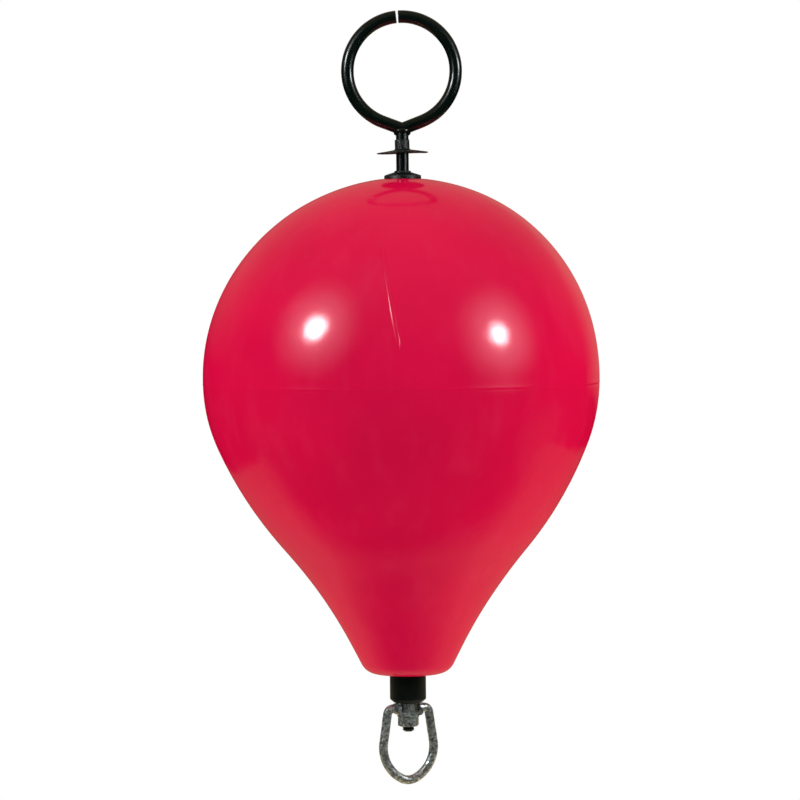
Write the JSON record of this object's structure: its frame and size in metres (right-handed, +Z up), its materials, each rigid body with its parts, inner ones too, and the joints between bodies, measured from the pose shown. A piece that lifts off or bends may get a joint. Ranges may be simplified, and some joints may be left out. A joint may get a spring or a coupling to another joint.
{
  "type": "mooring buoy",
  "caption": "pear-shaped inflated red mooring buoy on a black coated rod with a split pick-up ring above and a galvanised swivel bail below",
  "frame": {"origin": "on the rod's axis in the plane of the float's widest circle, where the buoy meets the water's surface", "axes": "+Z runs up the rod to the ring, the ring lies in the XZ plane and shows its open face along Y; seen from -Y, +X is to the right"},
  "size_m": [0.4713, 0.4714, 0.9191],
  "materials": {
    "red_vinyl": "gloss",
    "black_plastic": "satin",
    "black_rubber": "matte",
    "coated_steel": "gloss",
    "galvanised_steel": "satin"
  },
  "bodies": {
    "float": {"float_shell": "red_vinyl", "centre_tube": "black_plastic", "top_grommet": "black_rubber", "end_bush": "black_plastic"},
    "rod": {"rod": "coated_steel", "top_ring": "coated_steel", "ring_weld": "coated_steel", "stop_disc": "black_rubber", "thrust_collar": "galvanised_steel", "washer": "galvanised_steel", "nut": "galvanised_steel"},
    "yoke": {"yoke": "galvanised_steel"},
    "bail": {"bail": "galvanised_steel"}
  },
  "joints": [
    {"name": "rod_turn", "type": "hinge", "parent": "float", "child": "rod", "pos_m": [0, 0, 0], "axis": [0, 0, 1], "continuous": true},
    {"name": "swivel_turn", "type": "hinge", "parent": "rod", "child": "yoke", "pos_m": [0, 0, -0.3986], "axis": [0, 0, 1], "continuous": true},
    {"name": "bail_swing", "type": "hinge", "parent": "yoke", "child": "bail", "pos_m": [0, 0, -0.3923], "axis": [0.9397, 0.342, 0], "range_deg": [-105, 105]}
  ]
}
